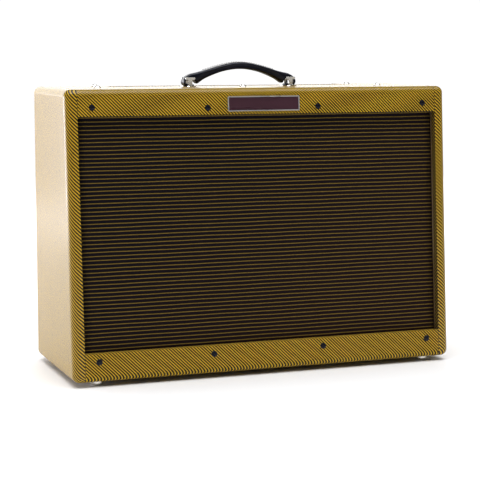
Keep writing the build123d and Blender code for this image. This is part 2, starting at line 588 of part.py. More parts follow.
os.makedirs("parts", exist_ok=True)
cabinet()
glides()
baffle()
nameplate()
speakers()
handle_grip()
handle_brackets()
wood_screws()
rear()
chassis()
controls()
electronics()
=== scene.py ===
import json
import logging
import math
from dataclasses import dataclass, field
from enum import Enum
from typing import Any, Iterable, Sequence

import bpy
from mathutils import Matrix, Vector


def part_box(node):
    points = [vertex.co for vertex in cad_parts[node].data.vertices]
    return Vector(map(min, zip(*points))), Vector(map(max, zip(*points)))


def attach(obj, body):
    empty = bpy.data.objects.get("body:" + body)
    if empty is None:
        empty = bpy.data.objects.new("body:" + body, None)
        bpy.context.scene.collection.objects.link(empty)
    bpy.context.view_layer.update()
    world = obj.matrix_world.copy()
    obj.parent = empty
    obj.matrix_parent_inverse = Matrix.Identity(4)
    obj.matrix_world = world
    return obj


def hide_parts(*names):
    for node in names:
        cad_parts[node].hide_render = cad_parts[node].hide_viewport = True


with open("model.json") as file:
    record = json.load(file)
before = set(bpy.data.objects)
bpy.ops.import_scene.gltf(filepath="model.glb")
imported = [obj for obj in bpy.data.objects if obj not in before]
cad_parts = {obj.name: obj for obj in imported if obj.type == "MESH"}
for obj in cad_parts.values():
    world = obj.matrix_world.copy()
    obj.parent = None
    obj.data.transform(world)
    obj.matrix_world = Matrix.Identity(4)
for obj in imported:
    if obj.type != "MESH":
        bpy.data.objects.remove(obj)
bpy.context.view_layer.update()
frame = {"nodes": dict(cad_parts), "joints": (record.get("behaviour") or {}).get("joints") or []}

# A cloth-covered guitar amplifier. Metres. X runs across the front, -Y is the front, +Z is up.

MM = 0.001
TURN = 2 * math.pi
CABINET = "cabinet"
THREAD_ROW = "thread_row"
END_TAPER = 0.45
SHOULDER = 0.6
log = logging.getLogger("amplifier")

Material = bpy.types.Material
Colour = tuple[float, float, float]
Point = Sequence[float]


class Wrap(Enum):
    """Which way a covering's stripes run on as the cloth turns away from the front."""

    TO_LEFT_SIDE = -1.0
    OVER_TOP_OR_RIGHT = 1.0


class Side(Enum):
    """The two ends of the handle, by the sign of X."""

    LEFT = -1
    RIGHT = 1


# ---- shader tools


class Signal:
    """A shader output that takes part in Python arithmetic."""

    def __init__(self, shade: "Shade", socket: bpy.types.NodeSocket) -> None:
        """Wraps one output socket of a material."""
        self.shade = shade
        self.socket = socket

    def _reckon(self, operation: str, *values: Any) -> "Signal":
        """Adds the node for one operation.

        Args:
            operation: The operation's name, as the Math and Vector Math nodes have it.
            values: The operands in order, numbers or signals.

        Returns:
            The node's result.
        """
        vector = any(isinstance(v, Signal) and v.socket.type == "VECTOR" for v in values)
        kind = "ShaderNodeVectorMath" if vector else "ShaderNodeMath"
        return self.shade.node(kind, {"operation": operation}, dict(enumerate(values)))[0]

    def __add__(self, other: Any) -> "Signal":
        """This signal plus another."""
        return self._reckon("ADD", self, other)

    def __radd__(self, other: Any) -> "Signal":
        """Another value plus this signal."""
        return self._reckon("ADD", other, self)

    def __sub__(self, other: Any) -> "Signal":
        """This signal less another."""
        return self._reckon("SUBTRACT", self, other)

    def __rsub__(self, other: Any) -> "Signal":
        """Another value less this signal."""
        return self._reckon("SUBTRACT", other, self)

    def __mul__(self, other: Any) -> "Signal":
        """This signal times another."""
        return self._reckon("MULTIPLY", self, other)

    def __rmul__(self, other: Any) -> "Signal":
        """Another value times this signal."""
        return self._reckon("MULTIPLY", other, self)

    def __truediv__(self, other: Any) -> "Signal":
        """This signal divided by another."""
        return self._reckon("DIVIDE", self, other)

    def __rtruediv__(self, other: Any) -> "Signal":
        """Another value divided by this signal."""
        return self._reckon("DIVIDE", other, self)

    def __abs__(self) -> "Signal":
        """The size of this signal without its sign."""
        return self._reckon("ABSOLUTE", self)

    def fraction(self) -> "Signal":
        """The part after the decimal point."""
        return self._reckon("FRACT", self)

    def stepped(self, pitch: float) -> "Signal":
        """This signal rounded down to whole pitches."""
        return self._reckon("SNAP", self, pitch)

    def sine(self) -> "Signal":
        """The sine of this signal, in radians."""
        return self._reckon("SINE", self)

    def larger(self, other: Any) -> "Signal":
        """The larger of this signal and another."""
        return self._reckon("MAXIMUM", self, other)

    def rise(self, start: float, end: float) -> "Signal":
        """A soft step from 0 at start to 1 at end.

        Args:
            start: Where the step begins.
            end: Where the step is complete. It may be below start.

        Returns:
            The step.
        """
        settings = {"interpolation_type": "SMOOTHSTEP", "clamp": True}
        low, high, first, last = (start, end, 0.0, 1.0) if start < end else (end, start, 1.0, 0.0)
        sockets = {0: self, 1: low, 2: high, 3: first, 4: last}
        return self.shade.node("ShaderNodeMapRange", settings, sockets)[0]


class Shade:
    """One material in the making."""

    def __init__(self, name: str) -> None:
        """Starts a material with an empty Principled shader.

        Args:
            name: The material's name.
        """
        self.material = bpy.data.materials.new(name)
        self.material.use_nodes = True
        self.tree = self.material.node_tree
        self.shader = self.tree.nodes["Principled BSDF"]

    def node(
        self,
        kind: str,
        settings: dict[str, Any] | None = None,
        sockets: dict[Any, Any] | None = None,
    ) -> list[Signal]:
        """Adds one node.

        Args:
            kind: The node's type.
            settings: Its own settings, made before any socket is filled.
            sockets: Values or signals by socket name or number.

        Returns:
            The node's outputs that are in use, as signals.
        """
        made = self.tree.nodes.new(kind)
        for key, value in (settings or {}).items():
            setattr(made, key, value)
        for key, value in (sockets or {}).items():
            self._fill(made.inputs[key], value)
        return [Signal(self, output) for output in made.outputs if output.enabled]

    def pick(self, output: str, kind: str, *details: Any) -> Signal:
        """The named output of a new node."""
        return next(s for s in self.node(kind, *details) if s.socket.name == output)

    def _fill(self, socket: bpy.types.NodeSocket, value: Any) -> None:
        """Links a signal to a socket, or sets the socket's own value.

        Args:
            socket: The socket to fill.
            value: A signal, a number or a colour.
        """
        if isinstance(value, Signal):
            self.tree.links.new(value.socket, socket)
        elif socket.type == "RGBA" and len(value) == 3:
            socket.default_value = (*value, 1.0)
        else:
            socket.default_value = value

    def set(self, **values: Any) -> None:
        """Fills the shader's sockets, with underscores for the spaces in their names."""
        for key, value in values.items():
            self._fill(self.shader.inputs[key.replace("_", " ")], value)

    def place(self) -> Signal:
        """The surface point in the object's own axes, in metres."""
        return self.pick("Object", "ShaderNodeTexCoord")

    def axes(self) -> list[Signal]:
        """The surface point's X, Y and Z."""
        return self.node("ShaderNodeSeparateXYZ", None, {0: self.place()})

    def noise(self, scale: float, detail: float = 2.0, stretch: Point = (1, 1, 1)) -> Signal:
        """Cloudy noise from 0 to 1.

        Args:
            scale: Clouds per metre.
            detail: How many finer layers it holds.
            stretch: How much finer it is along each axis.

        Returns:
            The noise.
        """
        sockets = {"Vector": self.place() * Vector(stretch), "Scale": scale, "Detail": detail}
        return self.node("ShaderNodeTexNoise", None, sockets)[0]

    def ripple(self, height: Signal, pitch: float) -> Signal:
        """A wave from -1 to 1 that repeats at each pitch of a height."""
        return (height * (TURN / pitch)).sine()

    def blend(self, share: Any, first: Any, second: Any) -> Signal:
        """A colour between two, by share."""
        settings = {"data_type": "RGBA", "clamp_factor": True}
        return self.node("ShaderNodeMix", settings, {0: share, 6: first, 7: second})[0]

    def relief(self, height: Signal, depth: float, strength: float = 1.0) -> None:
        """Raises the surface's shading by a height signal.

        Args:
            height: From 0 to 1.
            depth: What 1 stands for, in metres.
            strength: How much of it is felt.
        """
        sockets = {"Strength": strength, "Distance": depth, "Height": height}
        self.set(Normal=self.node("ShaderNodeBump", None, sockets)[0])


# ---- finishes


@dataclass(frozen=True)
class Tweed:
    """Lacquered twill with dark diagonal stripes, one cut of cloth.

    The stripes climb by climb for each unit across. A band at one height is painted dark and bare
    of coat, as painted shade under an overhanging edge, and seam_x is where two cuts meet on the
    front.
    """

    name: str
    wrap: Wrap = Wrap.OVER_TOP_OR_RIGHT
    phase: float = 0.0
    period: float = 5.6 * MM
    climb: float = 0.94
    thread: float = 0.62 * MM
    gold: Colour = (0.585, 0.350, 0.014)
    pale: Colour = (0.68, 0.43, 0.024)
    brown: Colour = (0.009, 0.005, 0.003)
    seam_x: float = 0.3241
    seam_half: float = 0.35 * MM
    # Height of the painted shade band and how far it reaches; the default keeps it off the cloth.
    painted_shade_z: float = -1.0
    painted_shade_deep: float = 2.6 * MM
    coat: float = 0.42
    stripe_edge: tuple[float, float] = (0.66, 0.54)
    relief_deep: float = 0.16 * MM

    def make(self) -> Material:
        """Builds the cloth's material.

        Returns:
            The material.
        """
        shade = Shade(self.name)
        x, y, z = shade.axes()
        steps = [axis.stepped(self.thread) for axis in (x, y, z)]
        run = steps[0] + y * self.wrap.value + steps[2] * self.climb
        wave = abs((run / self.period + self.phase).fraction() - 0.5) * 2
        dark = wave.rise(*self.stripe_edge)
        yarn = shade.node("ShaderNodeCombineXYZ", None, {0: steps[0], 1: steps[1], 2: steps[2]})[0]
        fleck = shade.node("ShaderNodeTexWhiteNoise", {"noise_dimensions": "3D"}, {0: yarn})[0]
        age = shade.noise(9.0, 4.0)
        ground = shade.blend(fleck * 0.6 + age * 0.4, self.gold, self.pale)
        stripe = shade.blend(fleck * 0.05, self.brown, self.gold)
        seam = abs(abs(x) - self.seam_x).rise(self.seam_half * 2, self.seam_half)
        # Painted shade: a dark, uncoated band along the rail's lower edge, where its overhang
        # shades the cloth.
        painted_shade = abs(z - self.painted_shade_z).rise(self.painted_shade_deep, self.painted_shade_deep * 0.5)
        colour = shade.blend(dark, ground, stripe)
        shade.set(Base_Color=shade.blend((seam * 0.6).larger(painted_shade * 0.9), colour, self.brown))
        shade.set(Roughness=0.50 + age * 0.16, Coat_Weight=(self.coat + age * 0.15) * (1.0 - painted_shade))
        shade.set(Coat_Roughness=0.20, Specular_IOR_Level=0.05)
        shade.set(Sheen_Weight=0.14, Sheen_Roughness=0.35)
        rib = shade.ripple(x + y + z, 2 * self.thread) * shade.ripple(x + y - z, 2 * self.thread)
        shade.relief(rib * 0.25 + 0.4 - dark * 0.3 - seam * 0.5, self.relief_deep, 0.5)
        return shade.material


@dataclass(frozen=True)
class GrilleWeave:
    """Dark speaker cloth with a thin gold thread in every row."""

    name: str = "grille_weave"
    thread: float = 1.1 * MM
    gold_edge: tuple[float, float] = (0.29, 0.12)
    night: Colour = (0.0024, 0.0018, 0.0044)
    oxblood: Colour = (0.0105, 0.0036, 0.0044)
    gold: Colour = (0.200, 0.128, 0.019)

    def make(self) -> Material:
        """Builds the cloth's material.

        Returns:
            The material.
        """
        shade = Shade(self.name)
        count = shade.pick("Fac", "ShaderNodeAttribute", {"attribute_name": THREAD_ROW})
        wave = abs(count.fraction() - 0.5) * 2
        x, _, z = shade.axes()
        upright = shade.ripple(x, self.thread) * 0.5 + 0.5
        age = shade.noise(6.0, 3.0)
        fleck = shade.noise(900.0, 1.0, (1, 1, 0.35))
        warmth = (x * 0.55 - z * 0.75).rise(-0.42, 0.12) * 0.75 + age * 0.3
        ground = shade.blend(warmth, self.night, self.oxblood)
        gold_thread = wave.rise(*self.gold_edge) * (0.62 + upright * 0.22 + fleck * 0.25)
        shade.set(Base_Color=shade.blend(gold_thread, ground, self.gold))
        shade.set(Roughness=0.80 - gold_thread * 0.22, Specular_IOR_Level=0.12)
        shade.relief(gold_thread * 0.5 + upright * 0.4, 0.35 * MM, 0.6)
        return shade.material


@dataclass(frozen=True)
class Metal:
    """Plated or bare metal with faint handling marks."""

    name: str
    colour: Colour
    roughness: float = 0.18
    brushed: Point = (1, 1, 1)
    tarnish: Colour = (0.42, 0.38, 0.30)

    def make(self) -> Material:
        """Builds the metal's material.

        Returns:
            The material.
        """
        shade = Shade(self.name)
        marks = shade.noise(260.0, 4.0, self.brushed)
        dull = shade.noise(38.0, 3.0).rise(0.52, 0.80)
        shade.set(Base_Color=shade.blend(dull * 0.45, self.colour, self.tarnish), Metallic=1.0)
        shade.set(Roughness=self.roughness + marks * 0.14 + dull * 0.16)
        shade.relief(marks, 0.02 * MM, 0.12)
        return shade.material


@dataclass(frozen=True)
class Paint:
    """Paint, enamel or moulded plastic, with a slightly uneven face."""

    name: str
    colour: Colour
    worn: Colour
    roughness: float = 0.35
    coat: float = 0.2
    speckle: float = 420.0
    metallic: float = 0.0

    def make(self) -> Material:
        """Builds the paint's material.

        Returns:
            The material.
        """
        shade = Shade(self.name)
        skin = shade.noise(self.speckle, 3.0)
        cloud = shade.noise(22.0, 3.0)
        shade.set(Base_Color=shade.blend(cloud.rise(0.40, 0.75), self.colour, self.worn))
        shade.set(Roughness=self.roughness + cloud * 0.15 + skin * 0.05)
        shade.set(Coat_Weight=self.coat, Coat_Roughness=0.18, Metallic=self.metallic)
        shade.relief(skin, 0.08 * MM, 0.3)
        return shade.material


@dataclass(frozen=True)
class Timber:
    """Sanded board with rings drawn out along its length."""

    name: str
    pale: Colour
    dark: Colour
    grain: Point = (0.10, 1.0, 1.0)
    rings: float = 46.0

    def make(self) -> Material:
        """Builds the timber's material.

        Returns:
            The material.
        """
        shade = Shade(self.name)
        warp = shade.noise(self.rings * 0.35, 3.0, self.grain)
        fibre = shade.noise(900.0, 2.0, self.grain)
        bands = abs((warp * 9.0).fraction() - 0.5) * 2
        share = bands.rise(0.15, 0.95) * 0.6 + fibre * 0.3
        shade.set(Base_Color=shade.blend(share, self.pale, self.dark))
        shade.set(Roughness=0.55 + fibre * 0.2)
        shade.relief(fibre * 0.6 + bands * 0.4, 0.15 * MM, 0.35)
        return shade.material


@dataclass(frozen=True)
class Leather:
    """Glossy black hide with fine creases."""

    name: str = "leather"
    hide: Colour = (0.0018, 0.0022, 0.0075)
    rubbed: Colour = (0.011, 0.011, 0.019)
    creases: float = 900.0

    def make(self) -> Material:
        """Builds the hide's material.

        Returns:
            The material.
        """
        shade = Shade(self.name)
        sockets = {"Vector": shade.place(), "Scale": self.creases}
        settings = {"feature": "DISTANCE_TO_EDGE"}
        crease = shade.pick("Distance", "ShaderNodeTexVoronoi", settings, sockets).rise(0.0, 0.18)
        wear = shade.noise(55.0, 4.0).rise(0.50, 0.78)
        shade.set(Base_Color=shade.blend(wear * 0.6, self.hide, self.rubbed))
        shade.set(Roughness=0.38 + wear * 0.2, Coat_Weight=0.22 + wear * 0.1, Coat_Roughness=0.12)
        shade.set(Specular_IOR_Level=0.22, Specular_Tint=(0.72, 0.78, 1.0))
        shade.relief(crease * 0.7 + shade.noise(1400.0, 2.0) * 0.3, 0.12 * MM, 0.45)
        return shade.material


@dataclass(frozen=True)
class Pulp:
    """Pressed paper, board, doped cloth or thread, with fibres."""

    name: str
    colour: Colour
    fibre: Colour
    roughness: float = 0.85

    def make(self) -> Material:
        """Builds the pulp's material.

        Returns:
            The material.
        """
        shade = Shade(self.name)
        strand = shade.noise(650.0, 5.0)
        cloud = shade.noise(30.0, 2.0)
        share = strand.rise(0.50, 0.72) * 0.6 + cloud * 0.25
        shade.set(Base_Color=shade.blend(share, self.colour, self.fibre))
        shade.set(Roughness=self.roughness - cloud * 0.1)
        shade.relief(strand, 0.3 * MM, 0.5)
        return shade.material


@dataclass(frozen=True)
class Glass:
    """Clear or coloured glass."""

    name: str
    colour: Colour
    roughness: float = 0.03
    glow: float = 0.0

    def make(self) -> Material:
        """Builds the glass's material.

        Returns:
            The material.
        """
        shade = Shade(self.name)
        haze = shade.noise(60.0, 3.0)
        tinted = shade.blend(haze * 0.15, self.colour, (0.8, 0.8, 0.8))
        shade.set(Base_Color=tinted, Roughness=self.roughness + haze * 0.05)
        shade.set(Transmission_Weight=1.0, IOR=1.46)
        if self.glow:
            shade.set(Emission_Color=tinted, Emission_Strength=self.glow)
        return shade.material


@dataclass(frozen=True)
class PlateEnamel:
    """Stamped plate: dark enamel field inside a bright metal rim.

    half_across and half_up are half the field's sizes about its centre.
    """

    centre: Vector
    up: Vector
    half_across: float
    half_up: float
    name: str = "plate_enamel"
    field_colour: Colour = (0.026, 0.0055, 0.012)
    streak: Colour = (0.060, 0.014, 0.026)
    rim: Colour = (0.86, 0.84, 0.82)

    def make(self) -> Material:
        """Builds the plate's material.

        Returns:
            The material.
        """
        shade = Shade(self.name)
        offset = shade.place() - self.centre
        x = shade.node("ShaderNodeSeparateXYZ", None, {0: offset})[0]
        sockets = {0: offset, 1: self.up}
        height = shade.node("ShaderNodeVectorMath", {"operation": "DOT_PRODUCT"}, sockets)[0]
        out = (abs(x) - self.half_across).larger(abs(height) - self.half_up)
        rim = out.rise(-0.05 * MM, 0.15 * MM)
        brush = shade.noise(120.0, 4.0, (0.1, 1, 1))
        enamel = shade.blend(brush, self.field_colour, self.streak)
        shade.set(Base_Color=shade.blend(rim, enamel, self.rim), Metallic=rim)
        shade.set(Roughness=0.22 + brush * 0.12, Coat_Weight=0.5 - rim * 0.4, Coat_Roughness=0.12)
        shade.relief(brush, 0.05 * MM, 0.25)
        return shade.material


# ---- shape making


def round_turns(steps: int) -> list[float]:
    """The angles of equal steps round a circle, in radians."""
    return [TURN * i / steps for i in range(steps)]


@dataclass
class Form:
    """A mesh in the making, gathered from lofted and turned shapes."""

    name: str
    points: list[Vector] = field(default_factory=list)
    faces: list[tuple[int, ...]] = field(default_factory=list)

    def loft(self, rings: Sequence[Sequence[Vector]], capped: bool = True) -> None:
        """Skins a row of equal rings.

        Args:
            rings: Rings of points, all of one length.
            capped: Whether the two end rings are filled in.
        """
        start, size = len(self.points), len(rings[0])
        self.points += [point for ring in rings for point in ring]
        for row in range(len(rings) - 1):
            a, b = start + row * size, start + (row + 1) * size
            for i in range(size):
                after = (i + 1) % size
                self.faces.append((a + i, a + after, b + after, b + i))
        if capped:
            self.faces.append(tuple(range(start + size - 1, start - 1, -1)))
            self.faces.append(tuple(range(len(self.points) - size, len(self.points))))

    def lathe(self, outline: Sequence[Point], axis: Point, steps: int = 40) -> None:
        """Turns an outline about an upright axis.

        Args:
            outline: (radius, height) points, in order, each radius above 0.
            axis: A point on the axis, which the heights start from.
            steps: How many points a ring has.
        """
        rings = []
        for radius, height in outline:
            rings.append([
                Vector(axis) + Vector((radius * math.cos(t), radius * math.sin(t), height))
                for t in round_turns(steps)
            ])
        self.loft(rings)

    def rod(self, path: Sequence[Vector], radius: float, steps: int = 8) -> None:
        """Draws a round thread or wire along a path.

        Args:
            path: The points that its middle follows.
            radius: Its radius.
            steps: How many points a ring has.
        """
        rings = []
        for i, point in enumerate(path):
            ahead = (path[min(i + 1, len(path) - 1)] - path[max(i - 1, 0)]).normalized()
            side = ahead.orthogonal().normalized()
            over = ahead.cross(side)
            taper = END_TAPER if i in (0, len(path) - 1) else 1.0
            rings.append([
                point + (side * math.cos(t) + over * math.sin(t)) * radius * taper
                for t in round_turns(steps)
            ])
        self.loft(rings)

    def slab(self, corners: Sequence[Vector], lift: Vector, edge: float) -> None:
        """Raises a flat outline into a slab with a bevelled upper edge.

        Args:
            corners: The outline, in order.
            lift: The slab's thickness and direction.
            edge: How far the bevel comes in, as a share from 0 to 1.
        """
        middle = sum(corners, Vector()) / len(corners)
        shoulder = [c + lift * SHOULDER for c in corners]
        crown = [middle + (c - middle) * (1 - edge) + lift for c in corners]
        self.loft([list(corners), shoulder, crown])

    def build(self) -> bpy.types.Object:
        """Makes the Blender object, shaded smooth.

        Returns:
            The object.
        """
        mesh = bpy.data.meshes.new(self.name)
        mesh.from_pydata([tuple(p) for p in self.points], [], self.faces)
        mesh.validate()
        mesh.update()
        mesh.shade_smooth()
        made = bpy.data.objects.new(self.name, mesh)
        bpy.context.scene.collection.objects.link(made)
        return made


def settle(
    piece: bpy.types.Object,
    finish: Material,
    body: str,
    stands_for: Iterable[str] = (),
) -> None:
    """Dresses a new piece and fixes it to the body that it moves with.

    Args:
        piece: The new piece.
        finish: Its material.
        body: The body that it rides on.
        stands_for: The nodes that it takes the place of.
    """
    piece.data.materials.clear()
    piece.data.materials.append(finish)
    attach(piece, body)
    if stands_for:
        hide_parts(*stands_for)
    log.info("piece %s rides on %s", piece.name, body)


def dress(finish: Material, *nodes: str) -> None:
    """Gives nodes of the frame their finish.

    Args:
        finish: The material.
        nodes: The nodes' names.
    """
    for name in nodes:
        node = frame["nodes"][name]
        node.data.materials.clear()
        node.data.materials.append(finish)
        log.info("node %s is %s", name, finish.name)


def joint(name: str) -> dict[str, Any]:
    """The record's joint of that name."""
    return next(j for j in frame["joints"] if j["name"] == name)


def oval(along: float, power: float) -> float:
    """A rounded-box outline's reach for the sine or cosine of an angle."""
    return math.copysign(abs(along) ** (2 / power), along)


# ---- the cabinet


@dataclass
class Cabinet:
    """Boards, their cloth coverings, the back panels and all plain fixings.

    The recess for the controls is open at the rear. Its other three walls are lined.
    """

    nickel: Metal = Metal("nickel", (0.80, 0.78, 0.73))
    lining_thick: float = 0.5 * MM
    lining_gap: float = 0.15 * MM
    lining_drop: float = 0.4 * MM
    recess_half: float = 225 * MM
    recess_front: float = 55 * MM

    def dress_coverings(self) -> None:
        """Covers the cabinet, its front rails and its back panels in five cuts of cloth."""
        # The upper rail's lower edge gets a band of painted shade.
        top = Tweed("tweed_top", phase=0.13, painted_shade_z=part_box("upper_front_rail")[0].z)
        dress(top.make(), "covering_top", "upper_front_rail")
        bottom = Tweed("tweed_bottom", phase=0.85, period=5.45 * MM, coat=0.12)
        dress(bottom.make(), "covering_bottom", "lower_front_rail")
        left = Tweed("tweed_left", Wrap.TO_LEFT_SIDE, 0.55, 6.4 * MM, 1.12)
        dress(left.make(), "covering_left")
        right = Tweed("tweed_right", phase=0.71, period=6.8 * MM, climb=1.05)
        dress(right.make(), "covering_right")
        back = Tweed("tweed_back", phase=0.37)
        dress(back.make(), "back_panel_upper", "back_panel_lower")

    def dress_boards(self) -> None:
        """Bare pine for the boards, stained ply for the baffle."""
        across = Timber("pine_across", (0.62, 0.42, 0.21), (0.42, 0.23, 0.09))
        dress(across.make(), "top_board", "bottom_board")
        upright = Timber("pine_upright", (0.60, 0.41, 0.20), (0.41, 0.22, 0.09), (1.0, 1.0, 0.10))
        dress(upright.make(), "side_board_left", "side_board_right", "back_cleats")
        ply = Timber("stained_ply", (0.055, 0.036, 0.024), (0.026, 0.016, 0.011))
        dress(ply.make(), "baffle_board")

    def dress_metal(self) -> None:
        """Plated fittings, and the blackened bolts of the front and the speakers."""
        plated = self.nickel.make()
        dress(plated, "foot_glides", "handle_brackets", "wood_screws", "chassis_screws")
        dress(plated, "panel_nuts", "input_jacks", "toggle_bodies", "pilot_bezel")
        dress(plated, "standby_toggle", "power_toggle")
        black = Metal("black_steel", (0.024, 0.025, 0.032), 0.26, tarnish=(0.06, 0.055, 0.055))
        dress(black.make(), "baffle_fixings", "speaker_bolts")

    def line_recess(self) -> None:
        """Lines the three walls of the control recess with the covering's cloth."""
        half, front, rear = self.recess_half, self.recess_front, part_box("chassis")[1].y
        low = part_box("control_panel")[1].z + self.lining_gap
        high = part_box("covering_top")[1].z - self.lining_drop
        near, far = self.lining_gap, self.lining_gap + self.lining_thick
        form = Form("recess_lining")
        route = [(-half, rear), (-half, front), (half, front), (half, rear)]
        inward = [(1, 0), (1, 1), (-1, 1), (-1, 0)]
        rings = []
        for (x, y), (dx, dy) in zip(route, inward):
            section = ((near, low), (far, low), (far, high), (near, high))
            rings.append([Vector((x + dx * off, y + dy * off, z)) for off, z in section])
        form.loft(rings)
        piece = form.build()
        settle(piece, Tweed("tweed_recess", phase=0.2, seam_x=1.0).make(), CABINET)

    def build(self) -> None:
        """Dresses and lines the whole cabinet."""
        self.dress_coverings()
        self.dress_boards()
        self.dress_metal()
        self.line_recess()


@dataclass
class Front:
    """Grille cloth stretched over the baffle, and the plate on the rail above it.

    The cloth has a mesh row rows_between times in each row of gold thread.
    """

    row_height: float = 6.7 * MM
    rows_between: int = 8
    columns: int = 44
    ridge: float = 0.22 * MM
    ridge_half: float = 0.14
    calm_rows: int = 6
    sink: float = 0.40 * MM
    wander: float = 0.16 * MM
    thickness: float = 0.35 * MM
    rim: float = 1.9 * MM

    def __post_init__(self) -> None:
        """Reads the lean of the front from the axis that the cones move along."""
        self.outward = Vector(joint("left_cone_travel")["axis"]).normalized()
        self.up = Vector((0, self.outward.z, -self.outward.y))

    def stretch_cloth(self) -> None:
        """Weaves the grille cloth, with a low ridge at each gold thread."""
        low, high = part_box("grille_cloth")
        half = (high.x - low.x) / 2
        foot = Vector((0, low.y, low.z)) - self.outward * self.sink
        height = (high.z - low.z) / self.up.z
        rows = round(height / self.row_height * self.rows_between)
        step = height / rows
        form, counts = Form("grille_fabric"), []
        for row in range(rows + 1):
            count = row * step / self.row_height
            bulge = self.ridge * math.exp(-(((count % 1.0 - 0.5) / self.ridge_half) ** 2))
            calm = self.wander * min(1.0, row / self.calm_rows, (rows - row) / self.calm_rows)
            for column in range(self.columns + 1):
                x = -half + 2 * half * column / self.columns
                drift = math.sin(x * 31 + count * 0.37) + 0.6 * math.sin(x * 83 - count * 0.9)
                rise = self.up * (row * step + drift * calm)
                form.points.append(foot + Vector((x, 0, 0)) + rise + self.outward * bulge)
                counts.append(count)
        wide = self.columns + 1
        for row in range(rows):
            for corner in range(row * wide, row * wide + self.columns):
                form.faces.append((corner, corner + 1, corner + 1 + wide, corner + wide))
        piece = form.build()
        attribute = piece.data.attributes.new(THREAD_ROW, "FLOAT", "POINT")
        attribute.data.foreach_set("value", counts)
        solid = piece.modifiers.new("thickness", "SOLIDIFY")
        solid.thickness = self.thickness
        solid.offset = 0.0
        settle(piece, GrilleWeave().make(), CABINET, ["grille_cloth"])

    def dress_plate(self) -> None:
        """Enamels the plate's field and leaves its rim bright."""
        low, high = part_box("nameplate")
        half_up = (high.z - low.z) / 2 / self.up.z - self.rim
        enamel = PlateEnamel((low + high) / 2, self.up, (high.x - low.x) / 2 - self.rim, half_up)
        dress(enamel.make(), "nameplate")

    def build(self) -> None:
        """Makes the cloth and dresses the plate."""
        self.stretch_cloth()
        self.dress_plate()


# ---- the handle


